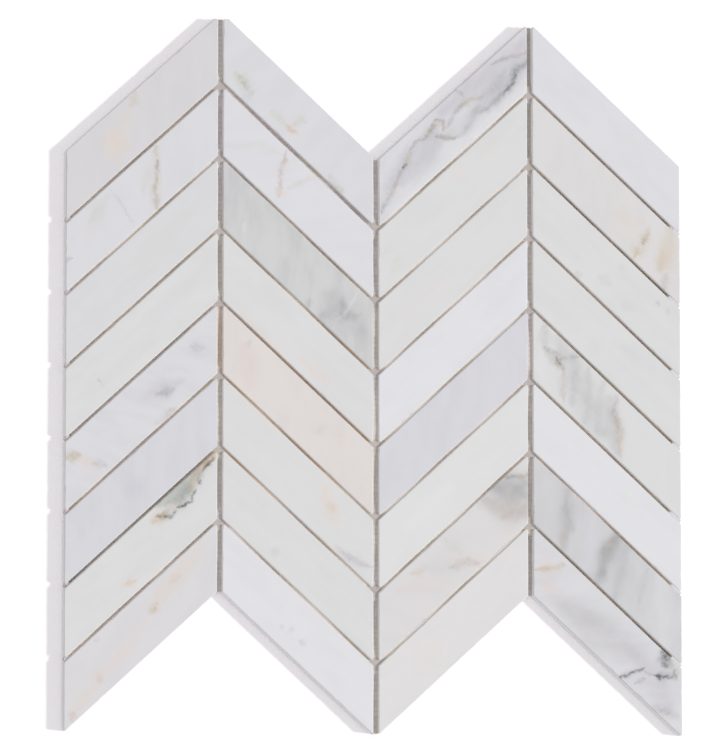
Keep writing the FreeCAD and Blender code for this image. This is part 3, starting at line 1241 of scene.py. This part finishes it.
def marble(strip):
    material, tree, shader = new_material("marble_col{}_row{}".format(*strip))
    place = strip_millimetres(tree, strip)
    colour = stone_colour(tree, strip, place)
    normal = add_node(tree, "ShaderNodeNewGeometry").outputs["Normal"]
    polished = fade(tree, axes(tree, normal)["Z"], *FACING_UP)
    saw_place = vectors(tree, "MULTIPLY", place, SAW_STRETCH)
    saw_marks = noise(tree, saw_place, SAW_MARK, 3.0).outputs[0]
    # Painted light with the slurry: the lower sides are painted pale, as table light would brighten their
    # shade.
    slurry_and_bounce_low = fade(tree, axes(tree, place)["Z"], *SLURRY_AND_BOUNCE_EDGE)
    slurry_and_bounce = arithmetic(tree, "MAXIMUM", fade(tree, saw_marks, *SLURRY_AND_BOUNCE_STREAKS), slurry_and_bounce_low)
    sawn_and_bounce = mix_colour(tree, slurry_and_bounce, colour, SLURRY_AND_PAINTED_BOUNCE)
    tree.links.new(mix_colour(tree, polished, sawn_and_bounce, colour), shader.inputs["Base Color"])
    tree.links.new(fade(tree, polished, 0.0, 1.0, SAWN_ROUGHNESS, POLISH), shader.inputs["Roughness"])
    add_bump(tree, shader, saw_marks, fade(tree, polished, 0.0, 1.0, SAW_BUMP, 0.0), SAW_DEPTH)
    return material


for strip, stone in stones.items():
    stone.data.materials.append(marble(strip))
largest = max(len(stone.data.materials[0].node_tree.nodes) for stone in stones.values())
print("marbles", len(stones), "largest tree", largest, "nodes")

# %% [markdown]
# ## The threads' finish
# The threads are bundles of fine glass filaments, soaked in a pale glue. The colour wanders between the
# bare thread and glue that has gone slightly brown, and the filaments show as fine ridges along the thread.

# %% Make the thread material
BARE_THREAD = paint(214, 208, 200)
BROWN_GLUE = paint(186, 172, 156)
FILAMENT = paint(160, 148, 134)
PATCH_EDGES = (0.35, 0.65)  # noise values where a patch starts and where it is full
GLUE_PATCH = 6.0
FILAMENT_SIZE = 0.6
FILAMENT_SHADE = (0.4, 0.7, 0.0, 0.3)
THREAD_ROUGHNESS = (0.7, 0.4)  # bare and glued
RIDGE_STRENGTH = 0.5
RIDGE_DEPTH = 0.05 * MM


def sheet_millimetres(tree):
    """Object coordinates in millimetres. Every piece has its origin in the sheet's own."""
    place = add_node(tree, "ShaderNodeTexCoord").outputs["Object"]
    return vectors(tree, "MULTIPLY", place, (1 / MM,) * 3)


def glued_thread(name, stretch):
    """Glued thread. Its filaments are drawn out where the stretch is small."""
    material, tree, shader = new_material(name)
    place = sheet_millimetres(tree)
    glue = fade(tree, noise(tree, place, GLUE_PATCH, 2.0, 4.0).outputs[0], *PATCH_EDGES)
    colour = mix_colour(tree, glue, BARE_THREAD, BROWN_GLUE)
    drawn = vectors(tree, "MULTIPLY", place, stretch)
    filaments = noise(tree, drawn, FILAMENT_SIZE, 4.0).outputs[0]
    shade = fade(tree, filaments, *FILAMENT_SHADE)
    tree.links.new(mix_colour(tree, shade, colour, FILAMENT), shader.inputs["Base Color"])
    tree.links.new(fade(tree, glue, 0.0, 1.0, *THREAD_ROUGHNESS), shader.inputs["Roughness"])
    add_bump(tree, shader, filaments, RIDGE_STRENGTH, RIDGE_DEPTH)
    return material


weft.data.materials.append(glued_thread("glued_weft", (0.2, 4.0, 4.0)))
warp.data.materials.append(glued_thread("glued_warp", (4.0, 0.2, 4.0)))
print("threads with", len(weft.data.materials) + len(warp.data.materials), "materials")

# %% [markdown]
# ## The glue's finish
# Dried glue is taupe deep in a joint, with a faint print of the threads, and painted paler where it comes up
# to
# the face: painted light on shallow glue and painted shade deep down. There are three finishes: it is greyer
# in the upright joints, warmer in the slanted ones and darker where joints meet, which is painted shade. At
# the left edge of the sheet it is painted a little lilac, the tint of the light on the joint ends there.
# Round the one blush strip it takes a painted warm bounce of light from that strip, along the joints above
# and below it and by its left end, but not down on the net, so the back of the sheet stays free of it.

# %% Choose the glue's tones
GLUE_DARK = paint(168, 160, 157)
# Painted light: this pale, and the flush tone below, colour the glue lighter the nearer it comes to the face.
GLUE_PAINTED_LIGHT = paint(208, 199, 191)
# Painted light: the lilac tint of the light on the joint ends at the sheet's left edge.
GLUE_PAINTED_LILAC_LIGHT = paint(208, 198, 203)
# Painted light: warm light bounced from the blush strip onto the glue beside it.
GLUE_BLUSH_BOUNCE = paint(196, 166, 138)
GLUE_PAINTED_FLUSH_LIGHT = paint(219, 215, 217)
BLUSH_STRIP = (2, 5)


def left_end(strip):
    """The middle of a strip's left end cut."""
    return low_left(strip) + Vector((0, end_cut / 2, 0))


# A painted warm bounce from the blush strip is its centre, how far it reaches, how near it is full, both in
# millimetres, and its strength.
BOUNCE_AT_END = (left_end(BLUSH_STRIP), 24.0, 8.0, 0.5)
BOUNCE_ALONG_SIDES = (middle(BLUSH_STRIP), 52.0, 36.0, 0.58)
GLUE_TONES = {
    UPRIGHT: ("upright_glue", paint(206, 197, 197), paint(202, 196, 185), BOUNCE_AT_END),
    SLANTED: ("slanted_glue", paint(212, 198, 188), paint(208, 195, 176), BOUNCE_ALONG_SIDES),
    # Painted shade: the glue where joints meet is coloured darker than in the joints.
    MEETING: ("meeting_glue_painted_shade", paint(190, 180, 180), paint(191, 182, 175), BOUNCE_AT_END),
}
print("glue finishes", len(GLUE_TONES))

# %% Make the glue materials
TONE_PATCH, TONE_EDGES = 45.0, (0.4, 0.6)
BLOTCH, BLOTCH_STRENGTH = 5.0, 0.35
PRINT_SHADE = (0.2, 1.0, 0.0, 0.3)
GLUE_ROUGHNESS = (0.55, 0.75)  # clean and blotched
# Painted light: depths where the glue is painted paler, and then flush, towards the face.
PAINTED_LIGHT_DEPTHS = (1.5, 0.6)  # millimetres below the face, where glue starts to pale and is pale
PAINTED_FLUSH_DEPTHS = (0.6, 0.4)
PAINTED_LILAC_EDGE = (2.8, 1.0)  # millimetres in from the left edge
BOUNCE_HEIGHTS = (0.6, 1.0)  # millimetres above the table


def painted_light_near_face(tree, height, deep, shallow):
    """0 at a deep place and 1 at a shallow one, both measured down from the face."""
    return fade(tree, height, face_height / MM - deep, face_height / MM - shallow)


def blush_bounce_cover(tree, place, height, centre, far, near, strength):
    from_centre = vectors(tree, "LENGTH", vectors(tree, "SUBTRACT", place, centre / MM))
    spread = fade(tree, from_centre, far, near, 0.0, strength)
    return arithmetic(tree, "MULTIPLY", spread, fade(tree, height, *BOUNCE_HEIGHTS))


def dried_glue(name, first, second, blush_bounce):
    """Glue that wanders between two tones."""
    material, tree, shader = new_material(name)
    place = sheet_millimetres(tree)
    along = axes(tree, place)
    wide = fade(tree, noise(tree, place, TONE_PATCH, 6.0, 2.0).outputs[0], *TONE_EDGES)
    blotches = fade(tree, noise(tree, place, BLOTCH, 7.0, 4.0).outputs[0], *PATCH_EDGES)
    waves = arithmetic(tree, "MULTIPLY", along["Y"], math.tau * MM / NET_PITCH)
    thread_print = fade(tree, arithmetic(tree, "SINE", waves), *PRINT_SHADE)
    # Painted light: glue within a few millimetres of the left edge is tinted lilac.
    painted_lilac_by_left_edge = fade(tree, along["X"], *(cad_box[0][0] / MM + inset for inset in PAINTED_LILAC_EDGE))
    layers = (
        (arithmetic(tree, "MULTIPLY", blotches, BLOTCH_STRENGTH), GLUE_DARK),
        (thread_print, GLUE_DARK),
        # Painted light and shade: glue paler near the face, darker deep in the joint.
        (painted_light_near_face(tree, along["Z"], *PAINTED_LIGHT_DEPTHS), GLUE_PAINTED_LIGHT),
        (painted_lilac_by_left_edge, GLUE_PAINTED_LILAC_LIGHT),
        # Painted light: the blush strip's warm bounce, kept off the net by height.
        (blush_bounce_cover(tree, place, along["Z"], *blush_bounce), GLUE_BLUSH_BOUNCE),
        (painted_light_near_face(tree, along["Z"], *PAINTED_FLUSH_DEPTHS), GLUE_PAINTED_FLUSH_LIGHT),
    )
    colour = mix_colour(tree, wide, first, second)
    for cover, tone in layers:
        colour = mix_colour(tree, cover, colour, tone)
    tree.links.new(colour, shader.inputs["Base Color"])
    tree.links.new(fade(tree, blotches, 0.0, 1.0, *GLUE_ROUGHNESS), shader.inputs["Roughness"])
    return material


for finish in (UPRIGHT, SLANTED, MEETING):
    joint_glue.data.materials.append(dried_glue(*GLUE_TONES[finish]))
film.data.materials.append(joint_glue.data.materials[UPRIGHT])
print("glue materials", [material.name for material in joint_glue.data.materials])

# %% [markdown]
# ## The table
# The sheet lies on a pale table that comes out pure white, apart from the soft shadow to the left of every
# edge. The table's own colour is a little lilac. A share of it glows, but only for rays that the camera
# sees, straight, mirrored or through glass, so that it reaches white without more light on the stone.

# %% Lay the table
TABLE_SIZE = 8.0
TABLE_DROP = 0.02 * MM
TABLE_TONE = paint(231, 228, 231)
TABLE_GLOW = 0.32


def seen(tree):
    """1 for rays that the camera sees straight, mirrored or through glass, and 0 for scattered light."""
    ray = add_node(tree, "ShaderNodeLightPath").outputs
    straight = arithmetic(tree, "MAXIMUM", ray["Is Camera Ray"], ray["Is Glossy Ray"])
    return arithmetic(tree, "MAXIMUM", straight, ray["Is Transmission Ray"])


def table_material():
    material, tree, shader = new_material("pale_table")
    shader.inputs["Base Color"].default_value = TABLE_TONE
    shader.inputs["Roughness"].default_value = 1.0
    shader.inputs["Specular IOR Level"].default_value = 0.0
    strength = arithmetic(tree, "MULTIPLY", seen(tree), TABLE_GLOW)
    glow = add_node(tree, "ShaderNodeEmission", {"Color": TABLE_TONE, "Strength": strength})
    both = add_node(tree, "ShaderNodeAddShader", {0: shader.outputs[0], 1: glow.outputs[0]})
    tree.links.new(both.outputs[0], tree.nodes["Material Output"].inputs["Surface"])
    return material


half_table = TABLE_SIZE / 2
table_corners = [(x * half_table, y * half_table, 0) for x, y in ((-1, -1), (1, -1), (1, 1), (-1, 1))]
table_mesh = bpy.data.meshes.new("table")
table_mesh.from_pydata(table_corners, [], [(0, 1, 2, 3)])
table_mesh.materials.append(table_material())
table = bpy.data.objects.new("table", table_mesh)
scene.collection.objects.link(table)
table.location.z = -TABLE_DROP
print("table", TABLE_SIZE, "m")

# %% [markdown]
# ## Light and camera
# One lamp stands far to the right, not quite half way up, and the rest is even studio light. The lamp is a
# sun, because a lamp that far away lights both sides of the sheet alike. The studio is white where the
# camera sees it. The camera looks almost straight down from some way off. It leans a little to the left and
# to the foot of the sheet, which is why the left-hand sides of the stones can just be seen.

# %% Light the sheet
STUDIO_LIGHT = 0.64
LAMP_LIGHT = 0.355
LAMP_SPREAD = math.radians(5.5)
LAMP_HEIGHT_ANGLE = math.radians(39.5)
LAMP_TURN = math.radians(-5.4)

world = bpy.data.worlds.new("studio")
world.use_nodes = True
scene.world = world
sky = world.node_tree
background = sky.nodes["Background"].inputs
background["Color"].default_value = (1, 1, 1, 1)
sky.links.new(fade(sky, seen(sky), 0.0, 1.0, STUDIO_LIGHT, 1.0), background["Strength"])

lamp_data = bpy.data.lights.new("lamp", "SUN")
lamp_data.angle = LAMP_SPREAD
lamp_data.energy = LAMP_LIGHT * math.pi / math.sin(LAMP_HEIGHT_ANGLE)
lamp = bpy.data.objects.new("lamp", lamp_data)
scene.collection.objects.link(lamp)
lamp_way = Vector((math.cos(LAMP_HEIGHT_ANGLE) * math.cos(LAMP_TURN),
                   math.cos(LAMP_HEIGHT_ANGLE) * math.sin(LAMP_TURN), math.sin(LAMP_HEIGHT_ANGLE)))
lamp.location = lamp_way
lamp.rotation_euler = lamp_way.to_track_quat("Z", "Y").to_euler()
print("lamp at", [round(v, 2) for v in lamp.location])

# %% Place the camera
IMAGE_HEIGHT = 750
FOCAL_PIXELS = 6073
CAMERA_DISTANCE = 2.922
FARTHEST_SEEN = 50
LEAN_LEFT = math.radians(11.12)
LEAN_FOOT = math.radians(5.67)
AIM_LEFT = 8.2 * MM
AIM_FOOT = 0.2 * MM

camera_data = bpy.data.cameras.new("camera")
camera_data.lens = FOCAL_PIXELS / IMAGE_HEIGHT * camera_data.sensor_width
camera_data.clip_end = FARTHEST_SEEN
camera = bpy.data.objects.new("camera", camera_data)
scene.collection.objects.link(camera)
lean = Matrix.Rotation(-LEAN_LEFT, 4, "Y") @ Matrix.Rotation(LEAN_FOOT, 4, "X")
on_face = Matrix.Translation((0, 0, face_height))
camera.matrix_world = on_face @ lean @ Matrix.Translation((-AIM_LEFT, -AIM_FOOT, CAMERA_DISTANCE))
scene.camera = camera
print("camera at", [round(v, 3) for v in camera.matrix_world.translation])
print("lens", round(camera_data.lens, 1), "mm")

# %% [markdown]
# ## Bring the scene up to date
# The view layer is updated with all the dressed pieces.

# %% Update the view layer
bpy.context.view_layer.update()
